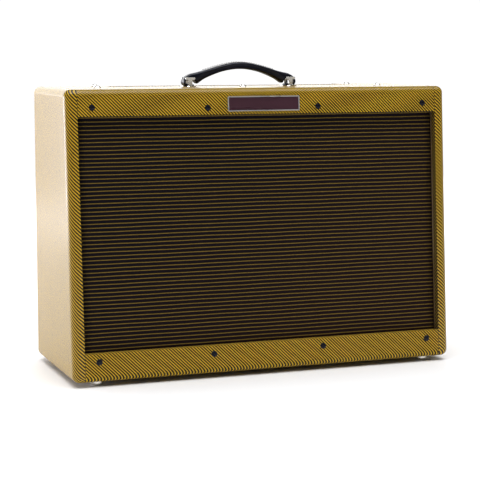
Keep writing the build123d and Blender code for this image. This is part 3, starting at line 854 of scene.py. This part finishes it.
@dataclass
class Handle:
    """Stitched leather grip whose strapped ends fold round the brackets' bars.

    Its sizes are in millimetres. crest and belly are (distance from the middle, height over the
    top) points along the upper and lower face. stitch is the (share of a pitch, lift) line of one
    stitch.
    """

    crest: Sequence[Point] = (
        (0, 42.5), (8, 42.2), (15, 41.6), (30, 38.6), (45, 34.8), (60, 30.2), (70, 27.2),
        (76, 25.7), (80, 24.8), (84, 24.0), (87, 23.4), (91, 22.6), (97, 19.7), (101, 17.0),
        (104, 13.2), (105.5, 9.5), (105.3, 5.6), (103.6, 2.2), (100, 0.5), (94, 0.45),
        (88, 0.6), (84.6, 1.4),
    )
    belly: Sequence[Point] = (
        (0, 30.1), (8, 29.9), (14, 29.4), (27, 27.4), (41, 24.0), (56, 18.2), (66, 13.7),
        (72, 10.0), (76, 6.8), (79.5, 4.4), (82.5, 6.2), (85.4, 12.6), (90, 14.5), (96, 13.9),
        (99.4, 11.8), (101.2, 9.0), (101.0, 7.4), (99.6, 5.6), (97.4, 4.8), (94, 4.7),
        (88.6, 4.6), (86.0, 4.0),
    )
    grip_half: float = 12.8
    strap_half: float = 9.8
    shoulder: float = 68.0
    narrowing_lead: float = 8.0
    narrowing: float = 12.0
    padded_past: float = 6.0
    round_points: int = 36
    squareness: float = 4.2
    waist_deep: float = 0.085
    waist_half: float = 0.16
    thread_radius: float = 0.42
    stitch_pitch: float = 4.4
    stitch_inset: float = 3.0
    stitch: Sequence[Point] = (
        (0.0, -0.25), (0.25, 0.18), (0.5, 0.26), (0.72, 0.18), (0.8, -0.25),
    )

    def __post_init__(self) -> None:
        """Finds the middle of the handle on the cabinet's top."""
        low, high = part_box("handle_grip")
        self.base = Vector((0, (low.y + high.y) / 2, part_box("covering_top")[1].z))

    def half_width(self, x: float) -> float:
        """Half the leather's width.

        Args:
            x: The distance from the middle, in millimetres.

        Returns:
            Half the width, in millimetres.
        """
        share = (abs(x) - self.shoulder + self.narrowing_lead) / self.narrowing
        share = min(1.0, max(0.0, share))
        return self.grip_half + (self.strap_half - self.grip_half) * share * share * (3 - 2 * share)

    def ring(self, outer: Point, inner: Point, side: Side) -> list[Vector]:
        """One section of the leather.

        Args:
            outer: A point on the crest.
            inner: The point on the belly that goes with it.
            side: Which end of the handle it is on.

        Returns:
            The section's points.
        """
        across = self.half_width(outer[0])
        waist_deep = self.waist_deep if outer[0] < self.shoulder + self.padded_past else 0.0
        ring = []
        for turn in round_turns(self.round_points):
            rise = oval(math.cos(turn), self.squareness)
            wide = oval(math.sin(turn), self.squareness)
            waist = 1 - waist_deep * math.exp(-((rise / self.waist_half) ** 2))
            share = 0.5 + rise / 2
            x = inner[0] + (outer[0] - inner[0]) * share
            z = inner[1] + (outer[1] - inner[1]) * share
            ring.append(self.base + Vector((side.value * x, wide * across * waist, z)) * MM)
        return ring

    def make_leather(self, finish: Material) -> None:
        """Lofts the whole strap from one folded end to the other.

        Args:
            finish: The leather.
        """
        stations = list(zip(self.crest, self.belly))
        left = [self.ring(o, i, Side.LEFT) for o, i in reversed(stations)]
        right = [self.ring(o, i, Side.RIGHT) for o, i in stations[1:]]
        form = Form("leather_grip")
        form.loft(left + right)
        piece = form.build()
        rounding = piece.modifiers.new("rounding", "SUBSURF")
        rounding.levels = rounding.render_levels = 1
        settle(piece, finish, "handle", ["handle_grip"])

    def crest_height(self, x: float) -> float:
        """The crest's height over the top.

        Args:
            x: The distance from the middle, in millimetres.

        Returns:
            The height, in millimetres.
        """
        for (x0, z0), (x1, z1) in zip(self.crest, self.crest[1:]):
            if x0 <= x <= x1:
                return z0 + (z1 - z0) * (x - x0) / (x1 - x0)
        return self.crest[0][1]

    def sew(self, finish: Material) -> None:
        """Sews a row of stitches along each edge of the grip's crest.

        Args:
            finish: The thread.
        """
        form = Form("handle_stitching")
        count = int(2 * (self.shoulder - 2) / self.stitch_pitch)
        for edge in (-1, 1):
            y = edge * (self.grip_half - self.stitch_inset)
            for step in range(count):
                start = -self.shoulder + 3 + step * self.stitch_pitch
                path = []
                for share, lift in self.stitch:
                    x = start + share * self.stitch_pitch
                    path.append(self.base + Vector((x, y, self.crest_height(abs(x)) + lift)) * MM)
                form.rod(path, self.thread_radius * MM, 6)
        settle(form.build(), finish, "handle")

    def build(self) -> None:
        """Makes the leather and its stitching."""
        self.make_leather(Leather().make())
        thread = Pulp("waxed_thread", (0.30, 0.29, 0.28), (0.52, 0.50, 0.47), 0.6)
        self.sew(thread.make())


# ---- the controls


@dataclass
class Controls:
    """Control panel with its dials, knobs, lamp, fuse and the chassis beneath.

    The pointer sizes are those of the pale line laid along each knob.
    """

    knobs: Sequence[str] = ("normal_volume", "bright_volume", "treble", "bass", "presence")
    sweep: float = 300.0
    marks: int = 12
    tick_from: float = 15.9 * MM
    tick_to: float = 17.4 * MM
    number_radius: float = 19.6 * MM
    number_size: float = 3.3 * MM
    ink_height: float = 0.12 * MM
    tick_half: float = 0.22 * MM
    tick_edge: float = 0.1
    pointer_from: float = 2.5 * MM
    pointer_to: float = 14.6 * MM
    pointer_half: float = 0.55 * MM
    pointer_high: float = 0.15 * MM
    pointer_sunk: float = 0.02 * MM
    pointer_edge: float = 0.06

    def dress_parts(self) -> None:
        """Gives the panel, the chassis and the controls their finishes."""
        dress(Metal("chrome_steel", (0.83, 0.84, 0.86), 0.13).make(), "control_panel")
        dress(Metal("plated_steel", (0.66, 0.66, 0.67), 0.26, (0.12, 1, 1)).make(), "chassis")
        pot = Metal("pot_metal", (0.62, 0.61, 0.58), 0.34)
        dress(pot.make(), "pots", *(f"{k}_shaft" for k in self.knobs))
        knob = Paint("knob_plastic", (0.010, 0.010, 0.011), (0.020, 0.019, 0.018), 0.22, 0.5)
        dress(knob.make(), *(f"{k}_knob" for k in self.knobs))
        plastic = Paint("black_plastic", (0.016, 0.016, 0.017), (0.030, 0.029, 0.028), 0.42)
        dress(plastic.make(), "fuse_holder", "fuse_cap", "mains_inlet", "valve_sockets")
        dress(Glass("jewel_glass", (0.70, 0.012, 0.008), 0.05, 0.35).make(), "pilot_jewel")
        fibre = Pulp("board_fibre", (0.020, 0.019, 0.018), (0.055, 0.050, 0.044), 0.7)
        dress(fibre.make(), "circuit_board")
        film = Paint("capacitor_film", (0.72, 0.45, 0.05), (0.58, 0.32, 0.04), 0.30, 0.4)
        dress(film.make(), "board_capacitors")
        iron = Paint("transformer_paint", (0.017, 0.017, 0.019), (0.034, 0.033, 0.034), 0.38, 0.15)
        dress(iron.make(), "power_transformer", "output_transformer")

    def pointer_turn(self, knob: str) -> float:
        """Where a knob points at rest, in radians from straight to the front."""
        return -math.radians(sum(joint(f"{knob}_turn")["range_deg"]) / 2)

    def ink(self) -> Material:
        """The pale filling of the engraved marks."""
        return Paint("engraving_fill", (0.78, 0.77, 0.72), (0.66, 0.64, 0.58), 0.5, 0.0).make()

    def draw_dials(self) -> None:
        """Engraves ticks and the numbers 1 to 12 round each knob."""
        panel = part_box("control_panel")[1].z
        dark = Paint("dial_ink", (0.010, 0.010, 0.012), (0.022, 0.021, 0.021), 0.5, 0.0).make()
        ticks, numbers = Form("dial_ticks"), Form("dial_numbers")
        lift = Vector((0, 0, self.ink_height))
        for knob in self.knobs:
            x, y, _ = joint(f"{knob}_turn")["pos_m"]
            hub = Vector((x, y, panel))
            for mark in range(self.marks):
                turn = math.radians(self.sweep * (0.5 - mark / (self.marks - 1)))
                ahead = Vector((-math.sin(turn), -math.cos(turn), 0))
                side = Vector((ahead.y, -ahead.x, 0)) * self.tick_half
                near, far = hub + ahead * self.tick_from, hub + ahead * self.tick_to
                corners = [near - side, near + side, far + side, far - side]
                ticks.slab(corners, lift, self.tick_edge)
                self.write_number(numbers, str(mark + 1), hub + ahead * self.number_radius)
        settle(ticks.build(), dark, CABINET)
        settle(numbers.build(), dark, CABINET)

    def write_number(self, form: Form, text: str, middle: Vector) -> None:
        """Adds a small raised number to a form.

        Args:
            form: The form that gathers all the numbers.
            text: The digits.
            middle: Where the number's middle is, on the panel.
        """
        curve = bpy.data.curves.new("digits", "FONT")
        curve.body, curve.size = text, self.number_size
        curve.align_x, curve.align_y = "CENTER", "CENTER"
        curve.extrude = self.ink_height / 2
        holder = bpy.data.objects.new("digits", curve)
        bpy.context.scene.collection.objects.link(holder)
        bpy.context.view_layer.update()
        depsgraph = bpy.context.evaluated_depsgraph_get()
        mesh = bpy.data.meshes.new_from_object(holder.evaluated_get(depsgraph))
        start = len(form.points)
        offset = middle + Vector((0, 0, self.ink_height / 2))
        form.points += [vertex.co + offset for vertex in mesh.vertices]
        form.faces += [tuple(start + i for i in face.vertices) for face in mesh.polygons]
        bpy.data.objects.remove(holder)
        bpy.data.curves.remove(curve)
        bpy.data.meshes.remove(mesh)

    def inlay_pointers(self, ink: Material) -> None:
        """Lays a pale line along each knob's pointer.

        Args:
            ink: The line's finish.
        """
        lift = Vector((0, 0, self.pointer_high))
        for knob in self.knobs:
            x, y, _ = joint(f"{knob}_turn")["pos_m"]
            crown = Vector((x, y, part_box(f"{knob}_knob")[1].z - self.pointer_sunk))
            turn = self.pointer_turn(knob)
            ahead = Vector((math.sin(turn), -math.cos(turn), 0))
            side = Vector((ahead.y, -ahead.x, 0)) * self.pointer_half
            near, far = crown + ahead * self.pointer_from, crown + ahead * self.pointer_to
            line = Form(f"{knob}_pointer_line")
            corners = [near - side, near + side, far + side, far - side]
            line.slab(corners, lift, self.pointer_edge)
            settle(line.build(), ink, knob)

    def build(self) -> None:
        """Dresses and marks the whole control panel."""
        self.dress_parts()
        ink = self.ink()
        self.draw_dials()
        self.inlay_pointers(ink)


# ---- the speakers, the valves


@dataclass
class Speakers:
    """Both speakers, with the finishes of their parts."""

    basket: Paint = Paint("basket_paint", (0.030, 0.030, 0.033), (0.055, 0.053, 0.052), 0.45)
    motor: Paint = Paint(
        "motor_paint", (0.26, 0.18, 0.055), (0.19, 0.125, 0.040), 0.36, 0.25, metallic=0.55
    )
    paper: Pulp = Pulp("cone_paper", (0.034, 0.031, 0.028), (0.085, 0.076, 0.066))
    doped: Pulp = Pulp("suspension_cloth", (0.110, 0.070, 0.030), (0.20, 0.135, 0.065), 0.6)

    def build(self) -> None:
        """Dresses baskets, motors, cones and suspensions."""
        dress(self.basket.make(), "speaker_baskets")
        dress(self.motor.make(), "speaker_motors")
        dress(self.paper.make(), "left_cone", "right_cone")
        dress(self.doped.make(), "left_suspension", "right_suspension")


@dataclass(frozen=True)
class ValveSize:
    """One type of valve, measured down from the chassis, in millimetres."""

    node: str
    count: int
    radius: float
    base_radius: float
    base_top: float
    base_low: float
    tube_low: float
    plate_across: float
    plate_deep: float
    tipped: bool = False


@dataclass
class Valves:
    """Glass valves with the works that show through them. Sizes in millimetres.

    wing_at and wing_half are where a plate is pinched, as shares of its half width.
    """

    sizes: Sequence[ValveSize] = (
        ValveSize("power_valves", 2, 19, 16, 7, 24, 98, 12.5, 7.0),
        ValveSize("rectifier_valve", 1, 16, 16, 7, 24, 90, 10.0, 6.0),
        ValveSize("preamp_valves", 3, 10.6, 10.2, 5, 7, 48, 6.2, 4.2, True),
    )
    wall: float = 0.9
    plate_points: int = 28
    squareness: float = 3.2
    wing_deep: float = 0.35
    wing_at: float = 0.72
    wing_half: float = 0.12
    stay_at: float = 0.45
    stay_radius: float = 0.5
    mica_gap: float = 1.4
    mica_half: float = 0.3
    silver_gap: float = 0.25
    silver_from: float = 0.35

    def axes(self, size: ValveSize) -> list[Vector]:
        """The top middle of each valve of one type.

        Args:
            size: The type of valve.

        Returns:
            One point for each valve.
        """
        low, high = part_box(size.node)
        first, last = low.x + size.radius * MM, high.x - size.radius * MM
        top, y = high.z + size.base_top * MM, (low.y + high.y) / 2
        share = [0.5] if size.count == 1 else [i / (size.count - 1) for i in range(size.count)]
        return [Vector((first + (last - first) * s, y, top)) for s in share]

    def shell(self, size: ValveSize, inset: float) -> list[Point]:
        """The glass's outline from its foot to its crown.

        Args:
            size: The type of valve.
            inset: How far the outline is moved in, in millimetres.

        Returns:
            The outline's points, in metres.
        """
        radius = size.radius - inset
        crown = [math.radians(a) for a in (0, 15, 30, 45, 60, 75, 88)]
        line = [(radius * 0.86, -size.base_low + 0.2), (radius * 0.97, -size.base_low - 3)]
        line.append((radius, -size.base_low - 7))
        line += [(radius * math.cos(a), -size.tube_low - radius * math.sin(a)) for a in crown]
        if size.tipped and inset == 0:
            line[-1] = (1.8, -size.tube_low - radius + 0.3)
            line += [(1.5, -size.tube_low - radius - 1.6), (0.5, -size.tube_low - radius - 3.2)]
        return [(r * MM, z * MM) for r, z in line]

    def works(self, size: ValveSize, plates: Form, micas: Form, getters: Form) -> None:
        """Adds the anode, its spacers and the silvered crown of each valve.

        Args:
            size: The type of valve.
            plates: The form that gathers the metal plates.
            micas: The form that gathers the mica spacers.
            getters: The form that gathers the silvering.
        """
        high, low = -size.base_low - 6, -size.tube_low + 6
        for axis in self.axes(size):
            rings = []
            for z in (high, high - 1, (high + low) / 2, low + 1, low):
                ring = []
                for turn in round_turns(self.plate_points):
                    x = oval(math.cos(turn), self.squareness)
                    pinch = math.exp(-((abs(x) - self.wing_at) / self.wing_half) ** 2)
                    y = oval(math.sin(turn), self.squareness) * (1 - self.wing_deep * pinch)
                    place = Vector((x * size.plate_across, y * size.plate_deep, z))
                    ring.append(axis + place * MM)
                rings.append(ring)
            plates.loft(rings)
            for side in (-1, 1):
                stay_x = side * size.plate_across * self.stay_at
                heights = (-size.base_low - 0.5, high, low, low - 4)
                stay = [axis + Vector((stay_x, 0, z)) * MM for z in heights]
                plates.rod(stay, self.stay_radius * MM)
            rim, half = size.radius - self.wall - self.mica_gap, self.mica_half
            for z in (high + 1.2, low - 1.2):
                disc = ((rim * 0.98, z - half), (rim, z), (rim * 0.98, z + half))
                micas.lathe([(r * MM, h * MM) for r, h in disc], axis)
            crown = self.shell(size, self.wall + self.silver_gap)
            edge = (-size.tube_low - size.radius * self.silver_from) * MM
            getters.lathe([point for point in crown if point[1] <= edge], axis)

    def build(self) -> None:
        """Makes each type's glass and bases, and the works inside them all."""
        glass = Glass("valve_glass", (0.93, 0.95, 0.96)).make()
        cap = Paint("valve_base", (0.030, 0.018, 0.012), (0.050, 0.032, 0.022), 0.30, 0.3).make()
        plates, micas = Form("valve_plates"), Form("valve_micas")
        getters = Form("valve_getters")
        for size in self.sizes:
            tube, bases = Form(f"{size.node}_glass"), Form(f"{size.node}_bases")
            for axis in self.axes(size):
                outer, inner = self.shell(size, 0), self.shell(size, self.wall)
                tube.lathe(outer + inner[::-1], axis)
                r, top, low = size.base_radius, -size.base_top, -size.base_low
                outline = [(r * 0.9, top), (r, top - 0.6), (r, low + 1.2)]
                outline += [(r * 0.965, low), (r * 0.3, low + 0.1)]
                bases.lathe([(a * MM, z * MM) for a, z in outline], axis)
            self.works(size, plates, micas, getters)
            settle(tube.build(), glass, CABINET, [size.node])
            settle(bases.build(), cap, CABINET)
        grey = Metal("valve_plate_metal", (0.20, 0.20, 0.21), 0.45)
        settle(plates.build(), grey.make(), CABINET)
        mica = Paint("mica", (0.62, 0.58, 0.50), (0.50, 0.45, 0.36), 0.25, 0.2)
        settle(micas.build(), mica.make(), CABINET)
        silver = Metal("silvering", (0.62, 0.62, 0.64), 0.12)
        settle(getters.build(), silver.make(), CABINET)


# ---- the studio


@dataclass(frozen=True)
class Card:
    """One bright card: where it hangs, what it points at, its width and height, and its watts."""

    name: str
    place: Point
    target: Point
    size: Point
    power: float
    tint: Colour = (1, 1, 1)


@dataclass
class Studio:
    """White sweep, broad soft lights and the camera. Angles in degrees."""

    eye: Point = (-0.9426, -2.5305, 0.5606)
    pitch: float = 7.27
    yaw: float = 20.33
    lens: float = 114.84
    sensor: float = 36.0
    backdrop: float = 1.05
    room: float = 0.10
    sun_strength: float = 3.7
    sun_lean: float = 8.0
    sun_spread: float = 62.0
    floor_half: float = 40.0
    sight: float = 200.0
    cards: Sequence[Card] = (
        Card("left_card", (-2.1, 1.6, 0.2), (-0.34, 0.0, 0.16), (2.6, 1.0), 92, (0.93, 0.92, 1.0)),
        Card("rear_card", (0.0, 3.2, 1.08), (0, 0, 0.48), (5.0, 1.3), 62),
    )

    def set_camera(self) -> None:
        """Places the camera."""
        data = bpy.data.cameras.new("camera")
        data.lens, data.sensor_width, data.clip_end = self.lens, self.sensor, self.sight
        camera = bpy.data.objects.new("camera", data)
        camera.location = self.eye
        camera.rotation_euler = (math.radians(90 - self.pitch), 0, math.radians(-self.yaw))
        bpy.context.scene.collection.objects.link(camera)
        bpy.context.scene.camera = camera

    def lay_floor(self) -> None:
        """Lays a pale floor that runs out of sight."""
        form = Form("floor", faces=[(0, 1, 2, 3)])
        for x, y in ((-1, -1), (1, -1), (1, 1), (-1, 1)):
            form.points.append(Vector((x, y, 0)) * self.floor_half)
        floor = form.build()
        shade = Shade("floor_paper")
        shade.set(Base_Color=(0.90, 0.90, 0.91), Roughness=0.6, Specular_IOR_Level=0.2)
        floor.data.materials.append(shade.material)

    def light(self, name: str, kind: str, energy: float, tint: Colour) -> bpy.types.Object:
        """Adds one light that itself stays out of the picture.

        Args:
            name: The light's name.
            kind: Its type.
            energy: Its power, or its strength if it is a sun.
            tint: Its colour.

        Returns:
            The light.
        """
        data = bpy.data.lights.new(name, kind)
        data.energy, data.color = energy, tint
        made = bpy.data.objects.new(name, data)
        made.visible_camera = False
        bpy.context.scene.collection.objects.link(made)
        return made

    def hang_card(self, card: Card) -> None:
        """Hangs one bright card.

        Args:
            card: Its place, size and light.
        """
        made = self.light(card.name, "AREA", card.power, card.tint)
        made.data.shape = "RECTANGLE"
        made.data.size, made.data.size_y = card.size
        made.location = card.place
        facing = Vector(card.target) - Vector(card.place)
        made.rotation_euler = facing.to_track_quat("-Z", "Y").to_euler()

    def paint_sky(self) -> None:
        """A white backdrop that lights the room only dimly."""
        world = bpy.data.worlds.new("sky")
        world.use_nodes = True
        tree = world.node_tree
        dim = tree.nodes["Background"]
        bright = tree.nodes.new("ShaderNodeBackground")
        for node, strength in ((dim, self.room), (bright, self.backdrop)):
            node.inputs["Color"].default_value = (1, 1, 1, 1)
            node.inputs["Strength"].default_value = strength
        path = tree.nodes.new("ShaderNodeLightPath")
        mix = tree.nodes.new("ShaderNodeMixShader")
        tree.links.new(path.outputs["Is Camera Ray"], mix.inputs[0])
        tree.links.new(dim.outputs[0], mix.inputs[1])
        tree.links.new(bright.outputs[0], mix.inputs[2])
        tree.links.new(mix.outputs[0], tree.nodes["World Output"].inputs["Surface"])
        bpy.context.scene.world = world

    def build(self) -> None:
        """Sets up camera, floor, sky and lights."""
        self.set_camera()
        self.lay_floor()
        self.paint_sky()
        bpy.context.scene.view_settings.view_transform = "Standard"
        overhead = self.light("overhead", "SUN", self.sun_strength, (1, 1, 1))
        overhead.data.angle = math.radians(self.sun_spread)
        overhead.rotation_euler = (math.radians(self.sun_lean), 0, 0)
        for card in self.cards:
            self.hang_card(card)


def main() -> None:
    """Builds the amplifier's looks in order."""
    logging.basicConfig(level=logging.INFO, format="%(message)s")
    Studio().build()
    for part in (Cabinet(), Front(), Handle(), Controls(), Speakers(), Valves()):
        part.build()
        log.info("%s is done", type(part).__name__)


if __name__ == "__main__":
    main()
